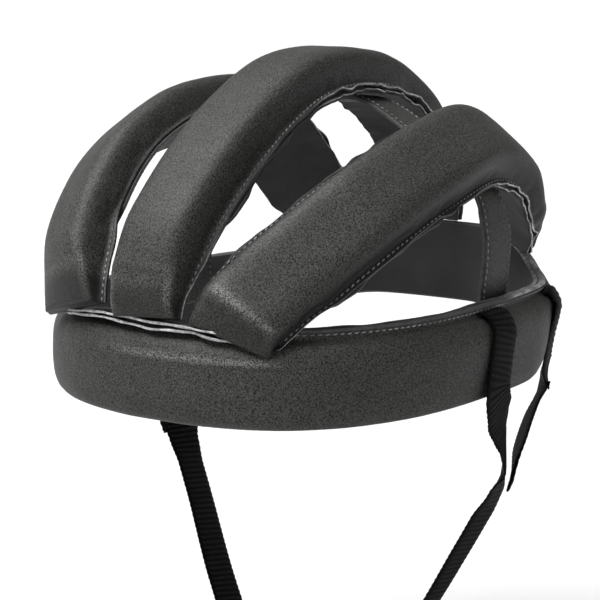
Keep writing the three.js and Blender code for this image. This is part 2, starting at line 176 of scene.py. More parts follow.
# Foot of each rib from the forehead to the back.
# Columns: x, y, z, half width of the pad, width of the sewn flange, height of the pad.
CENTRE_RIB = (
    (-2.8, -103.6, 38.3, 15.0, 1.6, 5.0),
    (-3.2, -101.4, 44.0, 15.0, 2.0, 9.5),
    (-3.4, -96.6, 52.5, 15.3, 2.4, 14.0),
    (-2.0, -86.0, 70.0, 16.2, 3.2, 15.5),
    (0, -49.5, 101.0, 16.8, 3.2, 15.5),
    (0, -13.0, 117.0, 16.8, 3.2, 15.5),
    (0, 31.0, 117.5, 16.8, 3.2, 15.0),
    (0, 66.0, 104.0, 16.5, 3.2, 14.0),
    (0, 83.5, 88.0, 16.2, 3.2, 13.0),
    (0, 92.5, 73.0, 15.8, 3.0, 12.0),
    (0, 96.0, 63.0, 15.2, 2.2, 9.5),
    (0, 97.0, 55.0, 15.0, 1.2, 6.0),
)
LEFT_RIB = (
    (31.2, -98.0, 33.6, 16.8, 0.6, 4.5),
    (32.8, -97.0, 38.4, 16.8, 1.0, 7.0),
    (35.2, -94.6, 43.2, 16.8, 1.6, 10.0),
    (40.2, -87.8, 50.8, 16.8, 2.2, 10.5),
    (47.5, -75.0, 60.5, 16.8, 3.2, 12.5),
    (57.0, -50.0, 76.0, 16.8, 3.2, 14.0),
    (60.5, -13.0, 88.5, 16.8, 3.2, 14.0),
    (58.5, 26.0, 93.5, 16.8, 3.2, 14.0),
    (55.5, 56.0, 83.0, 16.8, 3.2, 14.0),
    (51.5, 72.5, 67.5, 15.8, 3.0, 12.5),
    (46.8, 84.0, 58.0, 14.6, 2.4, 9.0),
    (43.0, 90.6, 49.8, 14.0, 1.6, 5.5),
)
RIGHT_RIB = (
    (-40.4, -100.4, 38.0, 19.8, 2.2, 8.5),
    (-41.2, -98.0, 44.0, 19.2, 2.6, 12.5),
    (-42.6, -92.4, 53.0, 17.6, 2.6, 16.0),
    (-45.5, -81.0, 69.0, 16.0, 3.0, 15.0),
    (-48.5, -56.0, 90.0, 16.0, 3.2, 15.0),
    (-50.0, -16.0, 102.5, 16.2, 3.2, 15.0),
    (-51.0, 26.0, 101.5, 16.4, 3.2, 14.5),
    (-52.0, 56.0, 86.0, 16.4, 3.2, 14.0),
    (-50.0, 72.5, 68.5, 15.8, 3.0, 12.5),
    (-46.5, 84.0, 58.0, 14.6, 2.4, 9.0),
    (-43.0, 90.6, 49.8, 14.0, 1.6, 5.5),
)
RIBS = {"rib_center": CENTRE_RIB, "rib_left": LEFT_RIB, "rib_right": RIGHT_RIB}
# The front face of each rib, where it meets the band.
# Columns: inset of the face from the band's outline, rounding of its bend, extra fullness, place of the bend,
# wear with a painted highlight along the bend, the same along the shoulders beside it, sag of its right
# shoulder.
RIB_FRONT = {
    "rib_center": (-2.6, 1.4, 1.0, 10.0, 0.15, 0.7, 0.0),
    "rib_left": (-0.4, 0.7, 1.5, 10.5, 0.8, 0.05, 4.0),
    "rib_right": (-4.8, 1.4, 1.0, 10.5, 0.15, 0.4, 0.0),
}
# Where the forms of the front, its painted shade and its wear with a painted highlight lie, as shares of the
# place of the bend.
FULLER_TO = (1.4, 0.7)
# Painted shade on the front face below the bend: gone at the first share, full at the second.
FACE_TO = (1.0, 0.6)
SAG_AT = (1.4, 1.1)
# Middle of the wear and painted highlight along the bend, and their reach on the shoulders beside it.
BEND_WEAR_HIGHLIGHT_AT = 1.05
SIDE_WEAR_HIGHLIGHT_REACH = 0.8
# Reach of the wear and painted highlight along the bend, in millimetres.
BEND_WEAR_HIGHLIGHT_REACH = 1.4
# Sag on the middle line, and how much of it goes over to the right shoulder.
SAG_SHARES = (0.55, 0.45)
# Limits, or middle and reach, as shares of the pad's height. SIDE_FROM is a share of its half width.
SAG_HEIGHT = (0.2, 0.9)
# Where the wear and painted highlight lie on the crown at the bend and on the shoulders beside it.
CROWN_HEIGHT = (0.80, 0.97)
# Painted shade on the walls beside the pad: gone at the first height, full at the second.
WALL_HEIGHT = (0.95, 0.55)
SIDE_HEIGHT = (0.80, 0.12)
SIDE_FROM = 0.75
# How strongly painted shade darkens the walls and the front face of each rib.
RIB_PAINTED_SHADE = {"rib_center": (0.05, 0.5), "rib_left": (0.7, 0.5), "rib_right": (0.05, 0.8)}
# How loose and light each rib's left raw edge is at the front.
LOOSE_FRONT = {"rib_center": 0.8, "rib_left": 1.0, "rib_right": 0.2}
LIGHT_FRONT = (0.16, 0.08)
# How much of each rib's left flange is folded under, and the limits of the fold as shares of its length.
TUCKED_LEFT = {"rib_center": 0.0, "rib_left": 0.0, "rib_right": 0.9}
TUCK_SHARES = (0.09, 0.17, 0.46, 0.58)
# Share of each rib's length from which its raw edges are light, and least and added lightness.
RAW_FROM = {"rib_center": 0.40, "rib_left": 0.575, "rib_right": 0.60}
RAW_EASE = 0.1
RIB_PALE = (0.12, 0.88)

# Lining under the ribs: where it starts, how far it widens from there, and its cross-section.
UNDER_THICK = 1.5
UNDER_CLEAR = 0.25
UNDER_START = 0.1
UNDER_TAPER = 0.07
UNDER_NARROW = 0.6
UNDER_RAW = (0, 7)
UNDER_EDGE_FROM = 0.9
UNDER_WAVE = (1.0, 8.0)
UNDER_INWARDS = 0.1
UNDER_DROOP = 0.5
UNDER_DROOP_WAVE = (0.5, 9.0)
# Columns: share of the half width, drop below the flat top.
UNDER_TOP = (
    (-1.0, RAW_FOOT), (-1.0, 0.1), (-0.97, 0.0), (-0.6, 0.0), (0.0, 0.0),
    (0.6, 0.0), (0.97, 0.0), (1.0, 0.1), (1.0, RAW_FOOT),
)

# Seam between the ribs and the band at the forehead, of an upper and a lower layer
# Its height. Columns: x, z.
SEAM_LEVEL = (
    (-60, 35.0), (-44, 36.8), (-23, 38.7), (2, 37.5),
    (19, 37.1), (32, 34.7), (40, 32.2), (50, 28.8),
)
# Columns: name, side of the seam, inset of its raw edge.
SEAM_LAYERS = (("seam_edge_upper", 1.0, 0.4), ("seam_edge_lower", -1.0, 0.9))
SEAM_DEG = (237.0, 246.0, 281.0, 292.0)
SEAM_STEPS = 180
SEAM_RAW = (1, 2)
SEAM_SPREAD = 1.2
SEAM_INSET = 0.5
SEAM_ROOT = 7.8
SEAM_BULGE = 0.25
SEAM_HALF_THICK = 0.50
SEAM_END_INSET = 2.4
SEAM_APART = 10.0
# Least and added share of its thickness and lightness, from its ends to its middle.
SEAM_THICK_SHARES = (0.35, 0.65)
SEAM_PALE = (0.25, 0.75)
SEAM_EDGE_WAVE = (0.7, 6.0)
SEAM_LEVEL_WAVE = (0.75, 10.0)
SEAM_THICK_WAVE = (0.15, 5.0)

# Flat strap from ear to ear under the ribs
FLAT_THICK = 2.0
CROSS_WIDTH = 22.0
CROSS_STEP = 1.5
CROSS_SEW = 0.82
CROSS_PALE = 0.08
CROSS_RAW = (10, 21)
CROSS_WAVE = (0.3, 9.0)
CROSS_UNEVEN = (0.2, 14.0)
UNDER_RIB = 5.3
UNDER_RIB_STEPS = 41
CROSS_AT_Y = 22.0
# The ribs that it passes under, and how much of each rib's half width its rows span.
CROSS_UNDER = ((LEFT_RIB, 0.9), (CENTRE_RIB, 0.8), (RIGHT_RIB, 0.9))
# Its left end. Columns: x, y, z, direction across the strap.
CROSS_END = (
    (74.4, 20.0, 20.0, 0, 1, 0),
    (74.6, 20.0, 37.0, 0, 1, 0),
    (75.8, 20.5, 52.0, 0, 1, 0),
    (75.0, 21.5, 64.0, 0, 1, 0),
)
# One of its faces. Columns: share of the half width, height over the flat face.
CROSS_FACE = (
    (-1.0, -0.35), (-0.93, 0.0), (-0.82, -0.12), (-0.74, 0.05), (-0.4, 0.12), (0.0, 0.15),
    (0.4, 0.12), (0.74, 0.05), (0.82, -0.12), (0.93, 0.0), (1.0, -0.35),
)
# Share of the half width from which a point belongs to the edge of a strap or webbing.
EDGE_FROM = 0.96

# Webbing
WEB_WIDTH = 18.0
WEB_THICK = 1.6
WEB_STEP = 0.25
WEB_RIB_PITCH = 2.4
WEB_RIB_DEPTH = 0.34
WEB_RIB_POWER = 0.7
WEB_ACROSS = (-1.0, -0.97, -0.90, -0.84, -0.5, 0.0, 0.5, 0.84, 0.90, 0.97, 1.0)
WEB_DOME_POWER = 6
WEB_DOME_LEAST = 0.02
WEB_EDGE_WAVE = 0.18
SELVEDGE_FROM = 0.87
SELVEDGE_DEPTH = 0.45
SELVEDGE_PHASE = 0.9
# Distances from its sewn end between which its bow eases off.
WEB_BOW_EASE = (40.0, 24.0)
WEB_CLEAR = 0.4
WEB_OUTER = -WEB_CLEAR - WEB_THICK / 2
# From under the band's flange over the padded shoulder and down its outer face.
# Columns: inset from the band's outline, share of its height, lift, share of the lead.
WEB_DOWN = (
    (7.4, 0.925, 0.0, 0.0),
    (6.4, 0.92, 0.3, 0.0),
    (4.7, 0.88, 1.7, 0.0),
    (2.7, 0.825, 2.4, 0.0),
    (-0.5, 0.74, 0.3, 0.1),
    (WEB_OUTER, 0.62, 0.0, 0.3),
    (WEB_OUTER, 0.40, 0.0, 0.6),
    (WEB_OUTER, 0.12, 0.0, 1.0),
)
# Free lengths. Columns: x, y, z, direction across the webbing.
FRONT_FREE = (
    (91.6, -4.0, -3.0, -0.05, 1.0, 0),
    (88.5, 3.5, -11.0, -0.20, 0.98, 0),
    (86.0, 10.5, -20.0, -0.38, 0.92, -0.1),
    (83.0, 17.0, -32.0, -0.50, 0.86, -0.1),
    (79.6, 16.6, -43.0, -0.20, 0.94, -0.25),
    (74.0, 14.6, -54.0, -0.10, 0.92, -0.35),
    (67.5, 12.3, -67.0, -0.10, 0.92, -0.35),
    (50.0, 5.0, -101.0, -0.05, 0.97, -0.15),
    (33.0, -1.5, -125.0, 0, 1, 0),
    (19.0, -4.0, -137.0, 0, 1, 0),
    (10.0, -4.0, -138.0, 0, 1, 0),
    (2.0, -4.0, -138.0, 0, 1, 0),
)
REAR_FREE = (
    (82.0, 53.0, -5.0, -0.60, 0.60, -0.4),
    (83.5, 39.0, -13.0, -0.62, 0.46, -0.6),
    (85.5, 27.0, -22.0, -0.62, 0.55, -0.5),
    (86.0, 20.3, -32.0, -0.50, 0.84, -0.1),
    (84.4, 20.2, -40.0, -0.36, 0.92, -0.1),
)
# Columns: name, degrees where it is sewn on, degrees that it leads on its way down, bow, free length.
WEBS = (
    ("front_web", -0.5, -2.0, 0.2, FRONT_FREE),
    ("rear_web", 28.0, -5.0, 0.9, REAR_FREE),
)

# Sleeve under the chin
CLASP_HALF = 14.0
CLASP_WALL = 2.2
CLASP_ROUND = 0.9
CLASP_AT = (-4.0, -138.0)
CLASP_SIDES = 48
CLASP_SQUARENESS = 6.0
SLOT_SQUARENESS = 12.0
SLOT_CLEAR = 0.2
# Its rounded lip. Columns: shares of the rounding, inwards from the end and down from the wall.
CLASP_LIP = ((0.0, 1.0), (0.3, 0.3), (1.0, 0.0))

# Stitching
STITCH_PITCH = 2.7
STITCH_LENGTH = 1.8
STITCH_RADIUS = 0.27
STITCH_SLANT = 0.14
STITCH_SIDES = 6
STITCH_RINGS = 5
STITCH_REACH = 0.96
# Height of a stitch's middle over the leather and how far its ends dip, as shares of its radius.
STITCH_LIFT = 0.9
STITCH_DIP = 1.5
STITCH_SINK = 0.1

# Leather: its tint, and how far painted shade on the ribs' walls and front faces takes it towards black.
LEATHER_TINT = (0.99, 1.0, 0.94)
PAINTED_SHADE_MOST = 0.88


# Small helpers

def smoothstep(low, high, value):
    share = np.clip((value - low) / (high - low), 0.0, 1.0)
    return share * share * (3.0 - 2.0 * share)


def between(limits, value):
    """1 between the middle two of four limits, easing to 0 at the outer two."""
    start, full, ease, end = limits
    return smoothstep(start, full, value) * smoothstep(end, ease, value)


def hump(value, middle, reach):
    return np.exp(-((value - middle) / reach) ** 2)


def unit(vectors):
    return vectors / np.maximum(np.linalg.norm(vectors, axis=-1, keepdims=True), 1e-9)


def noise(points, cell, seed):
    """Smooth value noise from -1 to 1, with the given cell size."""
    table = np.random.default_rng(seed).uniform(-1.0, 1.0, NOISE_TABLE)
    scaled = np.asarray(points, float) / cell
    base = np.floor(scaled).astype(np.int64)
    part = smoothstep(0.0, 1.0, scaled - base)
    total = np.zeros(scaled.shape[:-1])
    for corner in np.ndindex(2, 2, 2):
        step = np.array(corner)
        mixed = (base + step) * NOISE_PRIMES
        index = mixed[..., 0] ^ mixed[..., 1] ^ mixed[..., 2]
        weight = np.prod(np.where(step == 1, part, 1.0 - part), axis=-1)
        total += weight * table[np.mod(index, NOISE_TABLE)]
    return total


def waves(points, seed, *layers):
    """Sum of noise layers. Columns of layers: depth, cell size."""
    return sum(depth * noise(points, cell, seed + k) for k, (depth, cell) in enumerate(layers))


def distances(points):
    """Distance of each point from the first one, along the line through all of them."""
    steps = np.linalg.norm(np.diff(points, axis=0), axis=1)
    return np.concatenate([[0.0], np.cumsum(steps)])


def sample(at, passed, values):
    """Rows of values at the distances at. The given rows lie at the distances passed."""
    return np.stack([np.interp(at, passed, column) for column in values.T], axis=1)


def follow(rows, step=None, count=None):
    """Even stations on a smooth curve through the rows: points, tangents, other columns, distances."""
    table = np.array(rows, float)
    points = table[:, :3]
    extra = table[:, 3:]
    share = np.linspace(0.0, 1.0, CURVE_STEPS, endpoint=False)[:, None]
    ease = smoothstep(0.0, 1.0, share)
    dense = []
    columns = []
    for i in range(len(points) - 1):
        p1 = points[i]
        p2 = points[i + 1]
        p0 = points[i - 1] if i > 0 else 2 * p1 - p2
        p3 = points[i + 2] if i + 2 < len(points) else 2 * p2 - p1
        d0, d1, d2 = (math.sqrt(np.linalg.norm(b - a)) for a, b in ((p0, p1), (p1, p2), (p2, p3)))
        m1 = d1 * ((p1 - p0) / d0 - (p2 - p0) / (d0 + d1) + (p2 - p1) / d1)
        m2 = d1 * ((p2 - p1) / d1 - (p3 - p1) / (d1 + d2) + (p3 - p2) / d2)
        cubic = (2 * p1 - 2 * p2 + m1 + m2) * share ** 3
        square = (3 * p2 - 3 * p1 - 2 * m1 - m2) * share ** 2
        dense.append(cubic + square + m1 * share + p1)
        columns.append(extra[i] + (extra[i + 1] - extra[i]) * ease)
    dense = np.vstack([*dense, points[-1:]])
    columns = np.vstack([*columns, extra[-1:]])
    passed = distances(dense)
    if count is None:
        count = int(round(passed[-1] / step)) + 1
    at = np.linspace(0.0, passed[-1], count)
    point = sample(at, passed, dense)
    tangent = unit(np.gradient(point, axis=0))
    return point, tangent, sample(at, passed, columns), at


# Meshes

def make_mesh(name, points, faces, materials, face_slots=None, marks=None):
    """A smooth mesh object. points are millimetres, and marks are named values for each point."""
    mesh = bpy.data.meshes.new(name)
    mesh.from_pydata((np.asarray(points) * MM).tolist(), [], faces)
    for material in materials:
        mesh.materials.append(material)
    mesh.polygons.foreach_set("use_smooth", np.ones(len(mesh.polygons), bool))
    if face_slots is not None:
        mesh.polygons.foreach_set("material_index", np.asarray(face_slots, np.int32))
    for mark, values in (marks or {}).items():
        layer = mesh.attributes.new(mark, "FLOAT", "POINT")
        layer.data.foreach_set("value", np.asarray(values, np.float32).ravel())
    mesh.validate()
    mesh.update()
    piece = bpy.data.objects.new(name, mesh)
    bpy.context.scene.collection.objects.link(piece)
    return piece


def signed_volume(quads):
    """Six times the volume inside the quads, below zero where they face inwards."""
    a, b, c, d = quads.transpose(1, 0, 2)
    return np.sum(a * np.cross(b, c)) + np.sum(a * np.cross(c, d))


def loft(name, rings, materials, closed=False, raw=(), marks=None):
    """A closed solid through rings of points. raw lists the ring's segments that take the second material."""
    count, size = rings.shape[:2]
    spans = count if closed else count - 1
    i = np.arange(spans)[:, None]
    j = np.arange(size)[None, :]
    after = (i + 1) % count
    beside = (j + 1) % size
    corners = (i * size + j, i * size + beside, after * size + beside, after * size + j)
    faces = np.stack(np.broadcast_arrays(*corners), -1).reshape(-1, 4).tolist()
    slots = np.zeros((spans, size), int)
    slots[:, list(raw)] = 1
    slots = slots.ravel().tolist()
    if not closed:
        for first, flip in ((0, True), ((count - 1) * size, False)):
            for k in range(size // 2 - 1):
                quad = [first + k, first + k + 1, first + size - 2 - k, first + size - 1 - k]
                faces.append(quad[::-1] if flip else quad)
                slots.append(0)
    points = rings.reshape(-1, 3)
    if signed_volume(points[np.array(faces)]) < 0:
        faces = [face[::-1] for face in faces]
    return make_mesh(name, points, faces, materials, slots, marks)


def dress(piece, slot, *nodes, fill=None):
    """The piece stands for these nodes and rides on the part's one body. The slot is not used."""
    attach(piece, "root")
    if nodes:
        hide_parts(*nodes)
    return piece


def stitch_faces():
    """Faces of one stitch: a closed tube of rings."""
    faces = []
    for r in range(STITCH_RINGS - 1):
        here = r * STITCH_SIDES
        after = here + STITCH_SIDES
        for s in range(STITCH_SIDES):
            beside = (s + 1) % STITCH_SIDES
            faces.append([here + s, here + beside, after + beside, after + s])
    last = (STITCH_RINGS - 1) * STITCH_SIDES
    faces.append(list(range(STITCH_SIDES))[::-1])
    faces.append([last + s for s in range(STITCH_SIDES)])
    return faces


def stitch_row(path, normals, pitch=STITCH_PITCH):
    """Points and faces of stitches along a path: short threads that dip into the leather at both ends."""
    passed = distances(path)
    at = np.arange(pitch / 2, passed[-1], pitch)
    middle = sample(at, passed, path)
    along = unit(sample(at, passed, unit(np.gradient(path, axis=0))))
    up = unit(sample(at, passed, normals))
    along = unit(along + STITCH_SLANT * unit(np.cross(up, along)))
    aside = unit(np.cross(up, along))
    share = np.linspace(-STITCH_REACH, STITCH_REACH, STITCH_RINGS)[:, None]
    turn = np.arange(STITCH_SIDES)[None, :] * 2 * math.pi / STITCH_SIDES
    radius = STITCH_RADIUS * np.sqrt(1 - share ** 4)
    lift = STITCH_RADIUS * (STITCH_LIFT - STITCH_DIP * share ** 2)
    moves = (
        (along, share * STITCH_LENGTH / 2 + 0.0 * turn),
        (aside, radius * np.cos(turn)),
        (up, lift + radius * np.sin(turn)),
    )
    points = middle[:, None, None, :]
    for direction, amount in moves:
        points = points + direction[:, None, None, :] * amount[None, :, :, None]
    size = STITCH_RINGS * STITCH_SIDES
    template = stitch_faces()
    faces = [[v + k * size for v in face] for k in range(len(at)) for face in template]
    return points.reshape(-1, 3), faces


def stitches(name, rows, material, slot):
    """One piece of all the stitch rows of a sub-part."""
    points = []
    faces = []
    start = 0
    for row_points, row_faces in rows:
        points.append(row_points)
        faces.extend([v + start for v in face] for face in row_faces)
        start += len(row_points)
    return dress(make_mesh(name, np.vstack(points), faces, [material]), slot)


# Band

def plan(angle, inset):
    """Point of the band's outline, moved inwards along its normal, and that normal."""
    c = np.cos(angle)
    s = np.sin(angle)
    power = 2 / BAND_SQUARENESS
    x = BAND_HALF_WIDTH * np.sign(c) * np.abs(c) ** power
    y = BAND_HALF_LENGTH * np.sign(s) * np.abs(s) ** power
    nx = np.sign(c) * np.abs(c) ** (2 - power) / BAND_HALF_WIDTH
    ny = np.sign(s) * np.abs(s) ** (2 - power) / BAND_HALF_LENGTH
    length = np.hypot(nx, ny)
    nx = nx / length
    ny = ny / length
    return x - inset * nx, y - inset * ny, nx, ny


def behind_ear(angle):
    """Degrees from the ear towards the back, 0 in front of the ear."""
    return np.degrees(np.arcsin(np.clip(np.sin(angle), 0.0, 1.0)))


def towards_nape(rim, nape, angle):
    height, start, full = nape
    return rim + (height - rim) * smoothstep(start, full, behind_ear(angle))


def band_bottom(angle):
    return towards_nape(BAND_EAR_BOTTOM * np.cos(angle) ** 2, NAPE_BOTTOM, angle)


def band_top(angle):
    rim = BAND_FRONT_TOP + (BAND_EAR_TOP - BAND_FRONT_TOP) * np.cos(angle) ** 2
    return towards_nape(rim, NAPE_TOP, angle)


def band_lean(angle, rise):
    """Behind the ears the soft band leans: its lower edge lies further in than its top."""
    return LEAN * between(LEAN_DEG, behind_ear(angle)) * (LEAN_PIVOT - rise)


def band_point(angle, inset, rise):
    x, y, _, _ = plan(angle, inset + band_lean(angle, rise))
    z = band_bottom(angle) + (band_top(angle) - band_bottom(angle)) * rise
    return np.stack(np.broadcast_arrays(x, y, z), axis=-1)


def band_angle(points):
    power = BAND_SQUARENESS / 2
    c = np.sign(points[..., 0]) * np.abs(points[..., 0] / BAND_HALF_WIDTH) ** power
    s = np.sign(points[..., 1]) * np.abs(points[..., 1] / BAND_HALF_LENGTH) ** power
    return np.arctan2(s, c)


def inset_at(points):
    """How far points lie inside the band's outline, with the angle and the normal there."""
    angle = band_angle(points)
    x, y, nx, ny = plan(angle, 0.0)
    inset = (x - points[..., 0]) * nx + (y - points[..., 1]) * ny
    return inset, angle, nx, ny


def above_band(points):
    """Points of a rib, lifted where they would lie in the band's flange or its padded shoulder."""
    inset, angle, _, _ = inset_at(points)
    inset = inset - band_lean(angle, 1.0)
    shoulder = np.array([row for row in BAND_PAD if row[1] >= SHOULDER_RISE and row[0] < LINING_INSET])
    rise = np.interp(inset, shoulder[:, 0], shoulder[:, 1], left=0.0)
    rise = np.where(inset > FLANGE_INSET, 1.0, rise)
    floor = band_point(angle, inset, rise)[..., 2] + GAP
    points[..., 2] = np.maximum(points[..., 2], floor)
    return points


def band_line(point):
    """Direction of the band's top edge beside a point, towards the wearer's left."""
    angle = band_angle(point)
    side = math.radians(RIB_TURN_DEG)
    return band_point(angle - side, FLANGE_INSET, 1.0) - band_point(angle + side, FLANGE_INSET, 1.0)


def section_curve(rows, finer):
    """Finer rows on a smooth curve through the rows of a section of the band."""
    flat = [(inset, rise * BAND_TALL, 0.0, 0.0) for inset, rise in rows]
    point, _, _, _ = follow(flat, count=finer * (len(rows) - 1) + 1)
    return point[:, 0], point[:, 1] / BAND_TALL


def band_angles():
    return np.linspace(0.0, 2 * math.pi, BAND_STEPS, endpoint=False)[:, None]


def band_pale(degrees):
    """How light the raw top edge of the band is: light at the forehead and behind the left ear strap."""
    least, added = BAND_PALE
    return least + added * np.maximum(between(PALE_FRONT_DEG, degrees), between(PALE_REAR_DEG, degrees))


def head_band(leather, raw_edge):
    angle = band_angles()
    degrees = np.degrees(angle)
    inset, rise = section_curve(BAND_PAD, BAND_FINER)
    flange = np.array(BAND_FLANGE)
    inset = np.concatenate([inset, flange[:, 0]])[None, :]
    rise = np.concatenate([rise, flange[:, 1]])[None, :]
    full = SHOULDER_FULL * between(FULL_DEG, degrees) * between(FULL_RISE, rise)
    rings = band_point(angle, inset, rise + full)
    _, _, nx, ny = plan(angle, inset)
    out = np.stack(np.broadcast_arrays(nx, ny, np.zeros_like(nx)), -1)
    padded = smoothstep(*PADDED_RISE, rise) * smoothstep(*PADDED_INSET, inset)
    uneven = waves(rings, BAND_SEED, *BAND_UNEVEN)
    pucker = waves(rings * PUCKER_STRETCH, BAND_PUCKER_SEED, BAND_PUCKER) * hump(rise, *PUCKER_RISE)
    fold = FOLD_OUT * hump(rise, *FOLD_RISE) * between(FOLD_DEG, degrees)
    rings = rings + out * (padded * (uneven + pucker) + fold)[..., None]
    # Painted highlight along the band's shoulder at the forehead.
    wear_and_highlight = hump(rise, *SHOULDER_HIGHLIGHT_RISE) * between(SHOULDER_HIGHLIGHT_DEG, degrees)
    pale = np.broadcast_to(band_pale(degrees), rings.shape[:2])
    size = rings.shape[1]
    raw = range(size - len(BAND_FLANGE) + FLANGE_FACE_ROWS, size - 1)
    marks = {"wear_and_highlight": wear_and_highlight, "pale": pale}
    piece = loft("band_cover", rings, [leather, raw_edge], closed=True, raw=raw, marks=marks)
    return dress(piece, "leather", "head_band", fill=BAND_FILL)


def band_lining(suede, raw_edge):
    angle = band_angles()
    inset, rise = np.array(LINING_SECTION).T[:, None, :]
    rings = band_point(angle, LINING_INSET + LINING_CLEAR + inset, rise)
    rings[..., 2] += waves(rings, LINING_SEED, LINING_WAVE) * (rise > LINING_TOP)
    marks = {"pale": np.broadcast_to(band_pale(np.degrees(angle)), rings.shape[:2])}
    piece = loft("band_inner_wall", rings, [suede, raw_edge], closed=True, raw=LINING_RAW, marks=marks)
    return dress(piece, "lining", "band_lining")


def band_stitches(thread):
    angle = np.linspace(0.0, 2 * math.pi, BAND_STEPS)
    path = band_point(angle, *BAND_STITCH_AT)
    _, _, nx, ny = plan(angle, 0.0)
    normals = np.stack([nx, ny, np.zeros_like(nx)], axis=1)
    return stitches("band_stitches", [stitch_row(path, normals, BAND_STITCH_PITCH)], thread, "leather")


# Ribs

def rib_frame(rows, count=RIB_STEPS):
    """Stations along a rib, whose end turns into the line of the band."""
    point, tangent, other, at = follow(rows, count=count)
    out = point - np.array(DOME_CENTRE)
    out = unit(out - tangent * np.sum(out * tangent, axis=1, keepdims=True))
    across = unit(np.cross(tangent, out))
    share = at / at[-1]
    turn = smoothstep(1.0 - RIB_TURN_SHARE, 1.0, share)[:, None]
    line = band_line(point[-1])
    turned = line / np.sum(line * across, axis=1, keepdims=True)
    across = across + (turned - across) * turn
    half, sew, pad = other.T
    return {"point": point, "tangent": tangent, "out": out, "across": across,
            "half": half, "sew": sew, "pad": pad, "at": at, "share": share}


def place(frame, across, out):
    """Points at offsets across and out of each station of a rib or strap."""
    return (frame["point"][:, None, :] + frame["across"][:, None, :] * across[..., None]
            + frame["out"][:, None, :] * out[..., None])


def along_edges(frame, across):
    """Places for noise that changes along a rib or strap and is apart on its two sides."""
    side = np.sign(across) * SIDES_APART
    return np.stack(np.broadcast_arrays(frame["at"][:, None], side, 0.0 * across), -1)


def pad_curve():
    """Even points on half of a boxy oval, as shares of the pad's half width and height."""
    turn = np.linspace(0.0, math.pi, PAD_SAMPLES)
    wide = -np.sign(np.cos(turn)) * np.abs(np.cos(turn)) ** (2 / PAD_SQUARENESS)
    tall = np.sin(turn) ** (2 / PAD_SQUARENESS)
    passed = distances(np.stack([wide, PAD_ASPECT * tall], axis=1))
    at = np.linspace(0.0, passed[-1], PAD_POINTS + 2)[1:-1]
    return np.interp(at, passed, wide)[None, :], np.interp(at, passed, tall)[None, :]


def left_flange(name, frame):
    """Width of a rib's left flange where it isn't folded under."""
    return frame["sew"] * (1.0 - TUCKED_LEFT[name] * between(TUCK_SHARES, frame["share"]))


def flange_offsets(half, sew):
    """Offsets across a rib of the points of one flange, from its raw edge to the pad."""
    edge = half + sew
    rounded = edge - EDGE_ROUND * smoothstep(0.0, 1.0, sew)
    return np.concatenate([edge, edge, edge, rounded, half + SEW_LINE * sew, half + SEW_FOOT * sew], axis=1)


def rib_section(name, frame, fuller):
    """Offsets of a rib's cover, from the right raw edge over the crown to the left one."""
    half, sew, pad = (frame[key][:, None] for key in ("half", "sew", "pad"))
    wide, tall = pad_curve()
    out = FLANGE_THICK + (pad + fuller[:, None] + RIB_CROWN - FLANGE_THICK) * tall
    right = -flange_offsets(half, sew)
    left = flange_offsets(half, left_flange(name, frame)[:, None])[:, ::-1]
    flange = [0.0, RAW_FOOT, FLANGE_THICK - EDGE_DROP, FLANGE_THICK, FLANGE_THICK - SEW_DIP, FLANGE_THICK]
    lift = np.tile(flange, (len(half), 1))
    across = np.concatenate([right, half * wide, left], axis=1)
    out = np.concatenate([lift, out, lift[:, ::-1]], axis=1)
    return across, out


def rib_pale(name, frame, across):
    """How light a rib's raw edges are: light at the left front corner and round the bend at the back."""
    least, added = RIB_PALE
    share = frame["share"][:, None]
    front = LOOSE_FRONT[name] * smoothstep(*LIGHT_FRONT, share) * (across > 0)
    rear = smoothstep(RAW_FROM[name], RAW_FROM[name] + RAW_EASE, share)
    return least + added * np.maximum(rear, front)


def flutter(name, frame, across, seed):
    """Rise and fall of a rib's loose raw edges, in front on its left and round the bend at the back."""
    edge = (frame["half"] + frame["sew"])[:, None]
    share = frame["share"][:, None]
    folds = waves(along_edges(frame, across), seed, *FLUTTER_FOLDS)
    start = RAW_FROM[name]
    rear = folds * between((start, start + FLUTTER_EASE, *FLUTTER_END), share)
    lifted, folded = FRONT_LIFT
    loose = LOOSE_FRONT[name] * smoothstep(*FLUTTER_FRONT, share) * (across > 0)
    front = (lifted + folded * folds) * loose
    return FLUTTER * (rear + front) * (np.abs(across) > FLUTTER_FROM * edge)


def flat_front(points, face, rounding):
    """Points in front of an upright face, which follows the band's outline, pressed back to that face."""
    inset, _, nx, ny = inset_at(points)
    pressed = face + rounding * np.logaddexp(0.0, (inset - face) / rounding)
    back = np.where(points[..., 1] < 0.0, pressed - inset, 0.0)
    points[..., 0] -= back * nx
    points[..., 1] -= back * ny
    return points


def rib_shift(name, frame, rings, across, out, seed):
    """Small moves of a rib's points: uneven padding, puckers at its foot, wavy and fluttering raw edges."""
    half = frame["half"][:, None]
    sew = frame["sew"][:, None]
    places = along_edges(frame, across)
    padded = smoothstep(FLANGE_THICK, FLANGE_THICK + PAD_EASE, out)
    foot = hump(out, FLANGE_THICK + FOOT_REACH, FOOT_REACH) * (np.abs(across) < half + FOOT_OVER)
    loose = np.abs(across) > half + SEW_LOOSE * sew
    up = waves(rings, seed, *RIB_UNEVEN) * padded + flutter(name, frame, across, seed + 4)
    aside = waves(places, seed + 2, RIB_PUCKER) * foot + waves(places, seed + 3, RIB_WAVE) * loose
    aside = aside * np.sign(across)
    return up[..., None] * frame["out"][:, None, :] + aside[..., None] * frame["across"][:, None, :]


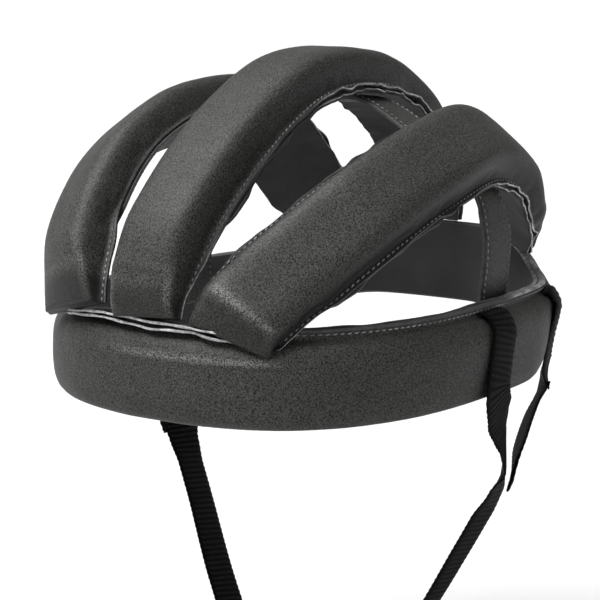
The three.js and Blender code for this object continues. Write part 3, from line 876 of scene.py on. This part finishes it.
def rib_marks(name, frame, across, height):
    """Where a rib has wear with a painted highlight, where painted shade darkens it and where its raw edges
    are pale.
    """
    _, _, _, bend, bend_wear_highlight, side_wear_highlight, _ = RIB_FRONT[name]
    wall_share, face_share = RIB_PAINTED_SHADE[name]
    at = frame["at"][:, None]
    beside = np.abs(across) > SIDE_FROM * frame["half"][:, None]
    # Wear with a painted highlight along the bend and on the shoulders beside it; painted shade on the walls
    # and on the front face below the bend.
    shoulder = hump(height, *SIDE_HEIGHT) * beside * hump(at, bend, SIDE_WEAR_HIGHLIGHT_REACH * bend)
    fold = hump(at, BEND_WEAR_HIGHLIGHT_AT * bend, BEND_WEAR_HIGHLIGHT_REACH) * smoothstep(*CROWN_HEIGHT, height)
    below_bend = smoothstep(FACE_TO[0] * bend, FACE_TO[1] * bend, at)
    return {
        "wear_and_highlight": np.maximum(bend_wear_highlight * fold, side_wear_highlight * shoulder),
        "painted_shade": np.maximum(wall_share * smoothstep(*WALL_HEIGHT, height), face_share * below_bend),
        "pale": rib_pale(name, frame, across),
    }


def rib_cover(name, rows, leather, raw_edge, seed):
    frame = rib_frame(rows)
    face, rounding, fullness, bend, _, _, sag = RIB_FRONT[name]
    fuller = fullness * smoothstep(FULLER_TO[0] * bend, FULLER_TO[1] * bend, frame["at"])
    across, out = rib_section(name, frame, fuller)
    height = out / (frame["pad"] + fuller + RIB_CROWN)[:, None]
    middle, tilt = SAG_SHARES
    sagging = hump(frame["at"][:, None], SAG_AT[0] * bend, SAG_AT[1] * bend)
    sagging = sagging * (middle - tilt * across / frame["half"][:, None])
    out = out - sag * sagging * smoothstep(*SAG_HEIGHT, height)
    rings = flat_front(place(frame, across, out), face, rounding)
    rings = above_band(rings + rib_shift(name, frame, rings, across, out, seed))
    raw = (RIB_RAW, rings.shape[1] - 2 - RIB_RAW)
    marks = rib_marks(name, frame, across, height)
    piece = loft(name + "_cover", rings, [leather, raw_edge], raw=raw, marks=marks)
    return dress(piece, "leather", name, fill=RIB_FILL)


def rib_lining(name, rows, suede, raw_edge, seed):
    frame = rib_frame(rows)
    shown = frame["share"] >= UNDER_START
    frame = {key: values[shown] for key, values in frame.items()}
    edge = (frame["half"] + frame["sew"])[:, None]
    left_edge = (frame["half"] + left_flange(name, frame))[:, None]
    share, drop = np.array(UNDER_TOP).T[:, None, :]
    across = np.concatenate([edge * share, edge * share[:, ::-1]], axis=1)
    across = np.where(across > 0, across * left_edge / edge, across)
    begun = smoothstep(UNDER_START, UNDER_START + UNDER_TAPER, frame["share"])[:, None]
    across = across * (UNDER_NARROW + (1.0 - UNDER_NARROW) * begun)
    top = -UNDER_CLEAR - drop
    bottom = np.full_like(top, -UNDER_CLEAR - UNDER_THICK)
    out = np.tile(np.concatenate([top, bottom], axis=1), (len(edge), 1))
    places = along_edges(frame, across)
    outer = np.abs(across) > UNDER_EDGE_FROM * edge
    across = across + np.sign(across) * outer * (waves(places, seed, UNDER_WAVE) - UNDER_INWARDS)
    out = out - outer * (UNDER_DROOP + waves(places, seed + 1, UNDER_DROOP_WAVE))
    out = out + flutter(name, frame, across, seed + 2)
    rings = above_band(place(frame, across, out))
    marks = {"pale": rib_pale(name, frame, across)}
    piece = loft(name + "_under", rings, [suede, raw_edge], raw=UNDER_RAW, marks=marks)
    return dress(piece, "lining", name + "_lining")


def rib_stitches(name, rows, thread):
    """Stitches along both flanges of a rib, wherever they are wide enough."""
    frame = rib_frame(rows)
    runs = []
    for side, sew in ((-1, frame["sew"]), (1, left_flange(name, frame))):
        offset = (side * (frame["half"] + SEW_LINE * sew))[:, None]
        path = place(frame, offset, np.full_like(offset, FLANGE_THICK - STITCH_SINK))[:, 0, :]
        wide = np.flatnonzero(sew > SEW_LEAST)
        breaks = np.flatnonzero(np.diff(wide) > 1) + 1
        for run in np.split(wide, breaks):
            runs.append(stitch_row(path[run], frame["out"][run]))
    return stitches(name + "_stitches", runs, thread, "leather")


def front_seam(raw_edge, leather):
    """Raw edges of the two layers that are sewn together where the ribs meet the band at the forehead."""
    degrees = np.linspace(SEAM_DEG[0], SEAM_DEG[-1], SEAM_STEPS)
    angle = np.radians(degrees)
    taper = between(SEAM_DEG, degrees)
    x, y, _, _ = plan(angle, SEAM_INSET)
    level = np.interp(x, *np.array(SEAM_LEVEL).T)
    root = np.full_like(x, SEAM_ROOT)
    thin, thicker = SEAM_THICK_SHARES
    least, added = SEAM_PALE
    for name, side, reach in SEAM_LAYERS:
        along = np.stack([x, y, np.full_like(x, SEAM_APART * side)], axis=1)
        front = reach + waves(along, SEAM_SEED, SEAM_EDGE_WAVE) + SEAM_END_INSET * (1 - taper)
        middle = level + (side * SEAM_SPREAD + waves(along, SEAM_SEED + 1, SEAM_LEVEL_WAVE)) * taper
        thick = SEAM_HALF_THICK + waves(along, SEAM_SEED + 2, SEAM_THICK_WAVE)
        thick = thick * (thin + thicker * taper)
        section = ((root, -1), (front, -1), (front - SEAM_BULGE, 0), (front, 1), (root, 1), (root, 0))
        rings = []
        for inset, lift in section:
            px, py, _, _ = plan(angle, inset)
            rings.append(np.stack([px, py, middle + lift * thick], axis=1))
        rings = np.stack(rings, axis=1)
        pale = np.broadcast_to((least + added * taper)[:, None], rings.shape[:2])
        piece = loft(name, rings, [leather, raw_edge], raw=SEAM_RAW, marks={"pale": pale})
        dress(piece, "leather")


# Straps

def strap_frame(rows, step):
    """Stations along a strap. The rows' last columns are the direction across it."""
    point, tangent, across, at = follow(rows, step=step)
    across = unit(across - tangent * np.sum(across * tangent, axis=1, keepdims=True))
    return {"point": point, "across": across, "out": unit(np.cross(across, tangent)), "at": at}


def under_rib(rows, reach):
    """Rows of the ear-to-ear strap just under a rib, from one side of the rib to the other."""
    frame = rib_frame(rows, count=UNDER_RIB_STEPS)
    best = int(np.argmin(np.abs(frame["point"][:, 1] - CROSS_AT_Y)))
    side = (frame["half"][best] + frame["sew"][best]) * frame["across"][best]
    middle = frame["point"][best] - UNDER_RIB * frame["out"][best]
    return [(*(middle + share * side), *frame["tangent"][best]) for share in (reach, 0.0, -reach)]


def cross_rows():
    other_end = [(-x, y, z, ax, ay, az) for x, y, z, ax, ay, az in reversed(CROSS_END)]
    under = [row for rows, reach in CROSS_UNDER for row in under_rib(rows, reach)]
    return [*CROSS_END, *under, *other_end]


def cross_strap(leather, raw_edge, thread):
    """Flat leather strap of two layers from ear to ear, stitched along both edges."""
    name = "ear_to_ear_strap"
    frame = strap_frame(cross_rows(), CROSS_STEP)
    half = CROSS_WIDTH / 2
    thick = FLAT_THICK / 2
    share, height = np.array(CROSS_FACE).T
    stations = (len(frame["at"]), 1)
    across = np.tile(np.concatenate([share, share[::-1]]) * half, stations)
    out = np.tile(np.concatenate([thick + height, -thick - height[::-1]]), stations)
    rings = place(frame, across, out)
    outer = np.abs(across) > EDGE_FROM * half
    wave = np.sign(across) * outer * waves(along_edges(frame, across), CROSS_SEED, CROSS_WAVE)
    rings += wave[..., None] * frame["across"][:, None, :]
    rings += waves(rings, CROSS_SEED + 1, CROSS_UNEVEN)[..., None] * frame["out"][:, None, :]
    marks = {"pale": np.full(rings.shape[:2], CROSS_PALE), "wear_and_highlight": np.zeros(rings.shape[:2])}
    piece = loft(name, rings, [leather, raw_edge], raw=CROSS_RAW, marks=marks)
    dress(piece, "leather", "cross_strap")
    runs = []
    for side in (-1, 1):
        for face in (-1, 1):
            path = frame["point"] + frame["across"] * side * CROSS_SEW * half
            path = path + frame["out"] * face * (thick - STITCH_SINK)
            runs.append(stitch_row(path, face * frame["out"]))
    stitches(name + "_stitches", runs, thread, "leather")


# Webbing

def web_from_flange(degrees, lead):
    """Rows of webbing from under the band's flange over the padded shoulder and down its outer face."""
    rows = []
    for inset, rise, lift, share in WEB_DOWN:
        angle = np.radians(degrees + lead * share)
        _, _, nx, ny = plan(angle, 0.0)
        x, y, z = band_point(angle, inset, rise)
        rows.append((float(x), float(y), float(z) + lift, float(-ny), float(nx), 0.0))
    return rows


def swap_side(rows):
    return [(-x, y, z, -ax, ay, az) for x, y, z, ax, ay, az in rows]


def webbing(node, rows, material, bow):
    """Woven strap with raised ribs across it and a plain selvedge along each edge.

    bow: how far its edges lie inwards of its middle where it follows the round of the band.
    """
    frame = strap_frame(rows, WEB_STEP)
    half = WEB_WIDTH / 2
    share = np.array(WEB_ACROSS)
    phase = np.pi * frame["at"][:, None] / WEB_RIB_PITCH
    rib = np.abs(np.sin(phase)) ** WEB_RIB_POWER
    small = SELVEDGE_DEPTH * np.abs(np.sin(phase + SELVEDGE_PHASE)) ** WEB_RIB_POWER
    wave = np.where(np.abs(share) > SELVEDGE_FROM, small, rib)
    dome = np.sqrt(np.clip(1.0 - share ** WEB_DOME_POWER, WEB_DOME_LEAST, 1.0))
    height = (WEB_THICK / 2 - WEB_RIB_DEPTH + WEB_RIB_DEPTH * wave) * dome
    across = np.tile(np.concatenate([share, share[::-1]]) * half, (len(phase), 1))
    outer = np.abs(across) > EDGE_FROM * half
    across = across + np.sign(across) * outer * WEB_EDGE_WAVE * np.sin(2 * phase)
    on_band = smoothstep(*WEB_BOW_EASE, frame["at"])[:, None]
    out = np.concatenate([height, -height[:, ::-1]], axis=1) + bow * on_band * (across / half) ** 2
    # Painted highlight on the raised ribs of the weave, for its material.
    ridge_highlight = np.concatenate([wave, wave[:, ::-1]], axis=1)
    piece = loft(node + "_weave", place(frame, across, out), [material], marks={"ridge_highlight": ridge_highlight})
    return dress(piece, "webbing", node)


def clasp_rim(x, half_wide, half_tall, squareness):
    """Ring of a boxy oval round the chin strap."""
    turn = np.linspace(0.0, 2 * math.pi, CLASP_SIDES, endpoint=False)
    c = np.cos(turn)
    s = np.sin(turn)
    y = CLASP_AT[0] + half_wide * np.sign(c) * np.abs(c) ** (2 / squareness)
    z = CLASP_AT[1] + half_tall * np.sign(s) * np.abs(s) ** (2 / squareness)
    return np.stack([np.full_like(y, x), y, z], axis=1)


def chin_clasp(material):
    """Rounded sleeve round the two ends of the chin strap."""
    slot_wide = WEB_WIDTH / 2 + GAP
    slot_tall = WEB_THICK / 2 + GAP
    wide = slot_wide + CLASP_WALL
    tall = slot_tall + CLASP_WALL
    slot = (slot_wide + SLOT_CLEAR, slot_tall + SLOT_CLEAR, SLOT_SQUARENESS)
    start = [(-CLASP_HALF + CLASP_ROUND * inwards, -CLASP_ROUND * down) for inwards, down in CLASP_LIP]
    end = [(-x, grow) for x, grow in reversed(start)]
    stations = [*start, (0.0, 0.0), *end]
    rings = [clasp_rim(x, wide + grow, tall + grow, CLASP_SQUARENESS) for x, grow in stations]
    rings += [clasp_rim(x, *slot) for x in (CLASP_HALF, 0.0, -CLASP_HALF)]
    return dress(loft("chin_sleeve", np.stack(rings), [material], closed=True), "clasp", "chin_clasp")


# Materials

def new_material(name):
    """A material with its node tree, its shader and the places of its points."""
    material = bpy.data.materials.new(name)
    material.use_nodes = True
    tree = material.node_tree
    where = tree.nodes.new("ShaderNodeTexCoord").outputs["Object"]
    return material, tree, tree.nodes["Principled BSDF"], where


def set_inputs(node, values):
    for key, value in values.items():
        node.inputs[key.replace("_", " ")].default_value = value


def add_node(tree, kind, links=(), **values):
    """A node of the tree. values set its inputs by name, and links joins its inputs to other outputs."""
    node = tree.nodes.new(kind)
    set_inputs(node, values)
    for key, source in links:
        tree.links.new(source, node.inputs[key])
    return node


def add_noise(tree, where, **values):
    return add_node(tree, "ShaderNodeTexNoise", [("Vector", where)], **values).outputs["Fac"]


def grey(value, tint=(1.0, 1.0, 1.0)):
    return tuple(value * share for share in tint)


def add_ramp(tree, source, stops, *tint):
    """Greys by the value of the source. Columns of stops: value, grey."""
    node = tree.nodes.new("ShaderNodeValToRGB")
    ramp = node.color_ramp
    while len(ramp.elements) < len(stops):
        ramp.elements.new(0.5)
    for element, (position, value) in zip(ramp.elements, stops):
        element.position = position
        element.color = (*grey(value, *tint), 1.0)
    tree.links.new(source, node.inputs["Fac"])
    return node.outputs["Color"]


def set_sockets(tree, sockets, values):
    """Each socket takes its value: a number, a colour or the output of another node."""
    for socket, value in zip(sockets, values):
        if isinstance(value, (int, float)):
            socket.default_value = value
        elif isinstance(value, tuple):
            socket.default_value = (*value, 1.0)
        else:
            tree.links.new(value, socket)


def add_math(tree, operation, first, second):
    node = tree.nodes.new("ShaderNodeMath")
    node.operation = operation
    set_sockets(tree, node.inputs, (first, second))
    return node.outputs["Value"]


def add_mix(tree, share, first, second, blend="MIX"):
    node = tree.nodes.new("ShaderNodeMix")
    node.data_type = "RGBA"
    node.blend_type = blend
    set_sockets(tree, (node.inputs[0], node.inputs[6], node.inputs[7]), (share, first, second))
    return node.outputs[2]


def mark_value(tree, name):
    node = tree.nodes.new("ShaderNodeAttribute")
    node.attribute_name = name
    return node.outputs["Fac"]


def add_bump(tree, shader, height, strength, distance):
    node = add_node(tree, "ShaderNodeBump", [("Height", height)], Strength=strength, Distance=distance)
    tree.links.new(node.outputs["Normal"], shader.inputs["Normal"])


def set_shader(tree, shader, colour, **values):
    """Join the colour to the shader, and set its other inputs by name."""
    tree.links.new(colour, shader.inputs["Base Color"])
    set_inputs(shader, values)


def leather_material():
    material, tree, shader, where = new_material("grained_leather")
    pebble = add_node(tree, "ShaderNodeTexVoronoi", [("Vector", where)], Scale=1900.0, Randomness=1.0)
    fine = add_noise(tree, where, Scale=1700.0, Detail=2.0, Roughness=0.6)
    cloud = add_noise(tree, where, Scale=26.0, Detail=4.0, Roughness=0.6)
    tone = add_ramp(tree, cloud, ((0.3, 0.0245), (0.7, 0.0305)), LEATHER_TINT)
    speck = add_ramp(tree, fine, ((0.36, 0.12), (0.64, 2.10)))
    spotted = add_mix(tree, 1.0, tone, speck, "MULTIPLY")
    # Painted shade: the ribs' walls and front faces mix towards near black.
    painted_shade = add_math(tree, "MULTIPLY", mark_value(tree, "painted_shade"), PAINTED_SHADE_MOST)
    base = add_mix(tree, painted_shade, spotted, grey(0.004))
    # Wear with a painted highlight on the ribs' bends and shoulders, and a painted highlight on the band's
    # shoulder, lightened in patches.
    wear_highlight_patches = add_ramp(tree, fine, ((0.38, 0.0), (0.60, 0.85)))
    wear_and_highlight = add_math(tree, "MULTIPLY", mark_value(tree, "wear_and_highlight"), wear_highlight_patches)
    colour = add_mix(tree, wear_and_highlight, base, grey(0.20, LEATHER_TINT))
    rough = add_ramp(tree, cloud, ((0.3, 0.60), (0.75, 0.50)))
    tree.links.new(rough, shader.inputs["Roughness"])
    grain = add_math(tree, "MULTIPLY", fine, 0.5)
    add_bump(tree, shader, add_math(tree, "ADD", pebble.outputs["Distance"], grain), 0.30, 0.0003)
    set_shader(tree, shader, colour, Specular_IOR_Level=0.20)
    return material


def plain_material(name, cloud, stops, bump, **values):
    """One cloudy tone. cloud and bump list scale and detail of a noise, bump also strength and depth."""
    material, tree, shader, where = new_material(name)
    scale, detail = cloud
    tone = add_ramp(tree, add_noise(tree, where, Scale=scale, Detail=detail), stops)
    if bump:
        scale, detail, strength, depth = bump
        add_bump(tree, shader, add_noise(tree, where, Scale=scale, Detail=detail), strength, depth)
    set_shader(tree, shader, tone, **values)
    return material


def suede_material():
    stops = ((0.3, 0.016), (0.7, 0.030))
    bump = (1400.0, 5.0, 0.5, 0.0003)
    return plain_material("suede_lining", (40.0, 3.0), stops, bump, Roughness=0.92, Sheen_Weight=0.12)


def raw_edge_material():
    material, tree, shader, where = new_material("raw_leather_edge")
    fibre = add_noise(tree, where, Scale=700.0, Detail=4.0)
    patch = add_noise(tree, where, Scale=120.0, Detail=2.0)
    light = add_ramp(tree, fibre, ((0.3, 0.20), (0.65, 0.60)))
    broken = add_ramp(tree, patch, ((0.30, 0.35), (0.55, 1.0)))
    pale = add_math(tree, "MULTIPLY", mark_value(tree, "pale"), broken)
    add_bump(tree, shader, fibre, 0.5, 0.0003)
    set_shader(tree, shader, add_mix(tree, pale, grey(0.03), light), Roughness=0.85)
    return material


def thread_material():
    stops = ((0.35, 0.09), (0.65, 0.27))
    return plain_material("grey_thread", (60.0, 2.0), stops, (1500.0, 2.0, 0.4, 0.0002), Roughness=0.6)


def nylon_material():
    material, tree, shader, where = new_material("black_webbing")
    yarn = add_noise(tree, where, Scale=1600.0, Detail=3.0)
    light = add_ramp(tree, yarn, ((0.35, 0.003), (0.70, 0.018)))
    # Painted highlight on the raised ribs and painted shade in the hollows between them.
    ridge_highlight = add_ramp(tree, mark_value(tree, "ridge_highlight"), ((0.55, 0.0), (0.98, 1.0)))
    colour = add_mix(tree, ridge_highlight, grey(0.001), light)
    add_bump(tree, shader, yarn, 0.5, 0.0002)
    set_shader(tree, shader, colour, Roughness=0.65, Specular_IOR_Level=0.05)
    return material


def plastic_material():
    stops = ((0.3, 0.010), (0.7, 0.016))
    return plain_material("black_plastic", (2200.0, 2.0), stops, (2200.0, 2.0, 0.15, 0.0002), Roughness=0.48)


def floor_material():
    stops = ((0.3, 0.54), (0.7, 0.56))
    return plain_material("pale_floor", (2.0, 2.0), stops, None, Roughness=0.9, Specular_IOR_Level=0.1)


# Stage

def build_stage():
    """Wide pale floor under the guard."""
    turn = np.linspace(0, 2 * math.pi, FLOOR_SIDES, endpoint=False)
    rings = [(r * np.cos(turn), r * np.sin(turn), np.full_like(turn, FLOOR_Z)) for r in FLOOR_RADII]
    points = np.concatenate([np.stack(ring, axis=1) for ring in rings])
    faces = [list(range(FLOOR_SIDES))]
    for r in range(len(FLOOR_RADII) - 1):
        for k in range(FLOOR_SIDES):
            a = r * FLOOR_SIDES + k
            b = r * FLOOR_SIDES + (k + 1) % FLOOR_SIDES
            faces.append([b, a, a + FLOOR_SIDES, b + FLOOR_SIDES])
    make_mesh("floor", points, faces, [floor_material()])


def add_aimed(name, data, at, direction):
    """A camera or lamp that points in a direction."""
    item = bpy.data.objects.new(name, data)
    item.location = at
    item.rotation_euler = direction.to_track_quat("-Z", "Y").to_euler()
    bpy.context.scene.collection.objects.link(item)
    return item


def build_light():
    key = bpy.data.lights.new("key_sky", "SUN")
    key.energy = KEY_POWER
    key.angle = math.radians(KEY_SPREAD_DEG)
    add_aimed("key_sky", key, (0.0, 0.0, 0.0), -Vector(KEY_FROM))
    softbox = bpy.data.lights.new("front_softbox", "AREA")
    softbox.shape = "DISK"
    softbox.size = SOFTBOX_SIZE * MM
    softbox.energy = SOFTBOX_POWER
    at = Vector(SOFTBOX_AT) * MM
    add_aimed("front_softbox", softbox, at, Vector(SOFTBOX_AIM) * MM - at)
    world = bpy.data.worlds.new("studio")
    world.use_nodes = True
    tree = world.node_tree
    direction = tree.nodes.new("ShaderNodeTexCoord").outputs["Generated"]
    height = add_node(tree, "ShaderNodeSeparateXYZ", [("Vector", direction)]).outputs["Z"]
    tree.links.new(add_ramp(tree, height, SKY), tree.nodes["Background"].inputs["Color"])
    bpy.context.scene.world = world
    bpy.context.scene.view_settings.view_transform = "Standard"


def build_camera():
    data = bpy.data.cameras.new("camera")
    data.lens = CAMERA_LENS
    data.sensor_width = CAMERA_SENSOR
    at = Vector(CAMERA_AT) * MM
    bpy.context.scene.camera = add_aimed("camera", data, at, Vector(CAMERA_AIM) * MM - at)


# Scene

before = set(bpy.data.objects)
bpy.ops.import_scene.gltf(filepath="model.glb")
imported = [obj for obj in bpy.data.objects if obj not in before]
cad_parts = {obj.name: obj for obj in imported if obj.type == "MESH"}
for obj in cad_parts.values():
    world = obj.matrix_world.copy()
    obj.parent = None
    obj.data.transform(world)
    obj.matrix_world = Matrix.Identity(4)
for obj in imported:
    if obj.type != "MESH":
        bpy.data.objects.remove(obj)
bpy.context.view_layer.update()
build_camera()

leather = leather_material()
suede = suede_material()
raw_edge = raw_edge_material()
thread = thread_material()
nylon = nylon_material()

head_band(leather, raw_edge)
band_lining(suede, raw_edge)
band_stitches(thread)
for k, (rib_name, rib_rows) in enumerate(RIBS.items()):
    rib_cover(rib_name, rib_rows, leather, raw_edge, RIB_SEED + SEED_STEP * k)
    rib_lining(rib_name, rib_rows, suede, raw_edge, UNDER_SEED + SEED_STEP * k)
    rib_stitches(rib_name, rib_rows, thread)
front_seam(raw_edge, leather)
cross_strap(leather, raw_edge, thread)
for web, degrees, lead, bow, free in WEBS:
    left_rows = [*web_from_flange(degrees, lead), *free]
    webbing(web + "_left", left_rows, nylon, bow)
    webbing(web + "_right", swap_side(left_rows), nylon, -bow)
chin_clasp(plastic_material())

build_stage()
build_light()
